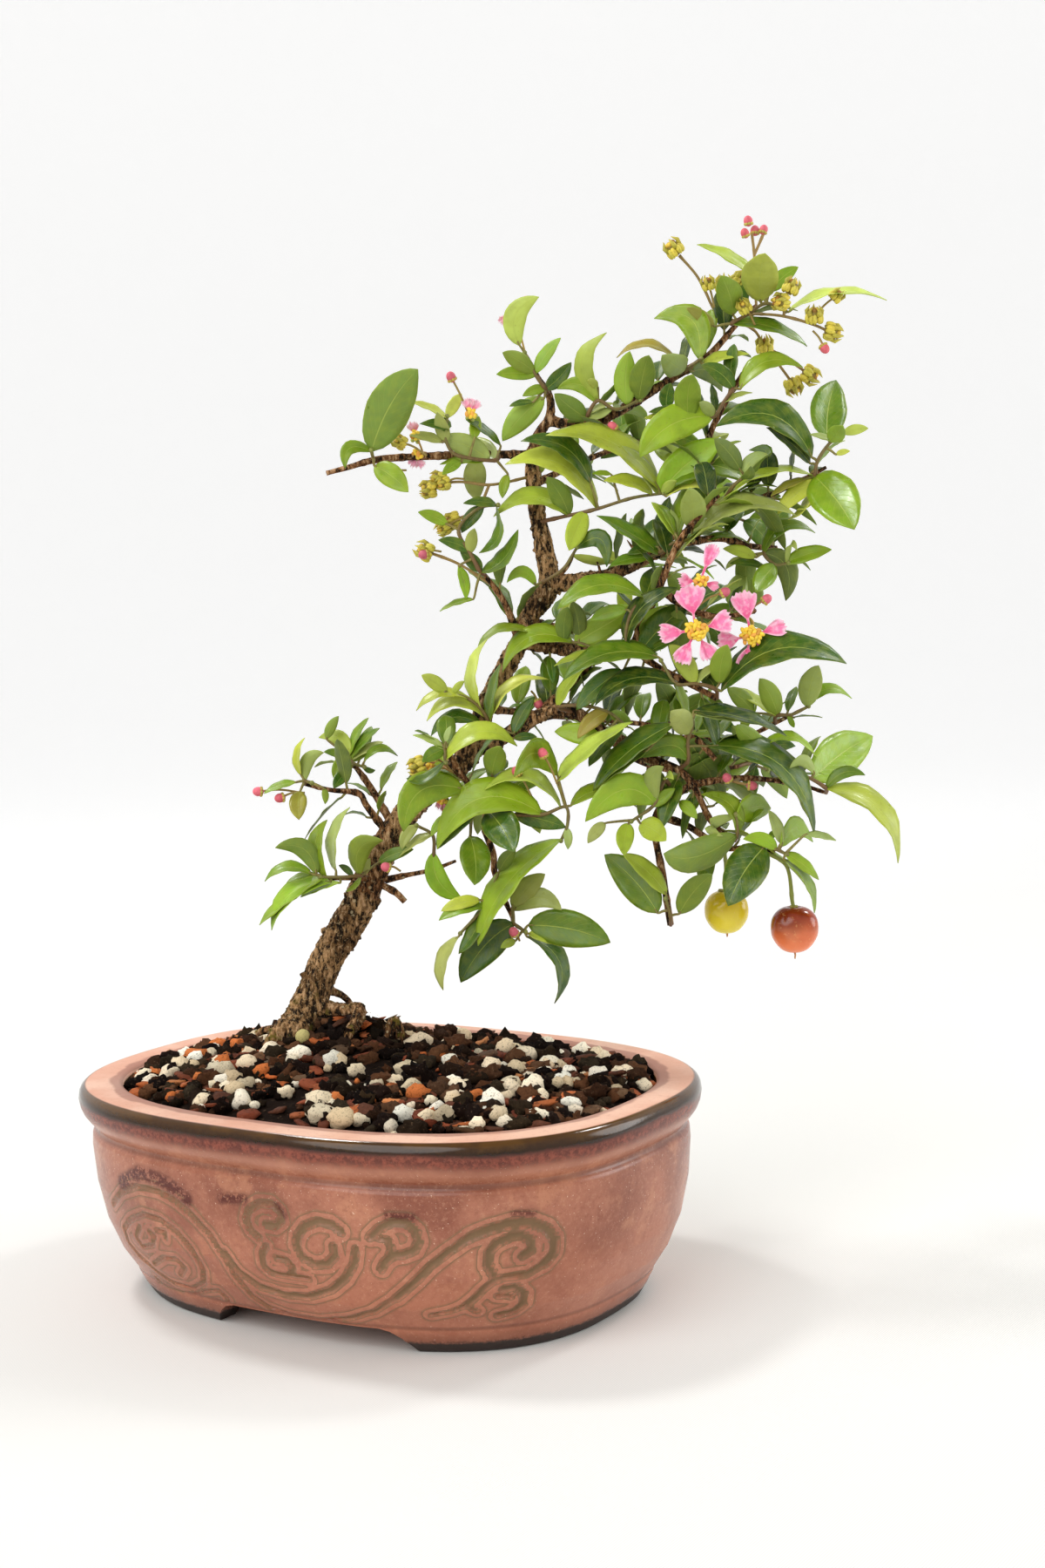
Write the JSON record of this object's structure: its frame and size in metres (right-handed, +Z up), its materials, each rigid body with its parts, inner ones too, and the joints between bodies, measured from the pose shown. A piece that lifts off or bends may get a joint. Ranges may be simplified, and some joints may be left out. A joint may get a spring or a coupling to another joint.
{
  "type": "barbados cherry bonsai",
  "caption": "Miniature Barbados cherry tree with a slanting trunk, small leaves, pink flowers and fruit, growing in a footed oval glazed bonsai pot.",
  "frame": {"origin": "centre of the footprint of the whole object, pot and overhanging crown together, on the surface the pot stands on", "axes": "+X along the pot's long side, +Y towards the back of the pot, where the crown leans, +Z up"},
  "size_m": [0.2315, 0.2299, 0.35],
  "materials": {
    "pot": "mottled pink and brown glaze, glossy dark band below a matt rim",
    "screen": "matt black",
    "soil": "coarse dark grit with pale pumice and red bark",
    "bark": "rough grey-brown bark",
    "leaf": "semi-glossy green leaf",
    "petal": "soft pink petal",
    "bud": "soft pink bud",
    "seed_head": "knobbly yellow-green",
    "ripe_fruit": "glossy red skin",
    "unripe_fruit": "glossy yellow-green skin"
  },
  "bodies": {
    "root": {"pot": "pot", "drainage_screen_left": "screen", "drainage_screen_right": "screen", "potting_mix": "soil", "trunk_and_branches": "bark", "flower_left": "petal", "flower_right": "petal", "flower_upper": "petal", "top_buds": "bud", "right_buds": "bud", "top_seed_heads": "seed_head", "right_seed_heads": "seed_head", "middle_seed_heads": "seed_head", "left_seed_heads": "seed_head", "left_seed_head": "seed_head", "low_seed_head": "seed_head", "cherry_red": "ripe_fruit", "cherry_yellow": "unripe_fruit", "shoot_top": "leaf", "shoot_upper": "leaf", "shoot_upper_side": "leaf", "shoot_far_right": "leaf", "shoot_young": "leaf", "shoot_right_inner": "leaf", "shoot_right_tip": "leaf", "shoot_flowering": "leaf", "shoot_inner": "leaf", "shoot_below_fork": "leaf", "shoot_trunk_right": "leaf", "shoot_fork": "leaf", "shoot_top_left": "leaf", "shoot_upper_mid": "leaf", "shoot_far_left": "leaf", "shoot_left_mid": "leaf", "shoot_left_low": "leaf", "shoot_trunk_mid": "leaf", "shoot_right_cut": "leaf", "shoot_low_mid": "leaf", "shoot_right_back": "leaf", "shoot_cut_low": "leaf", "shoot_long": "leaf", "shoot_front": "leaf", "shoot_right_base": "leaf", "shoot_low_front": "leaf", "shoot_lowest": "leaf", "shoot_low_left_up": "leaf", "shoot_left_tip": "leaf", "shoot_left_base": "leaf", "shoot_right_low": "leaf", "shoot_right_lower": "leaf", "shoot_right_end": "leaf", "shoot_hanging": "leaf", "shoot_far_right_low": "leaf", "shoot_mid_left": "leaf", "shoot_back_upper": "leaf", "shoot_back_right": "leaf", "shoot_back_middle": "leaf", "shoot_back_low": "leaf", "shoot_back_far_right": "leaf", "shoot_back_left": "leaf"}
  },
  "joints": []
}
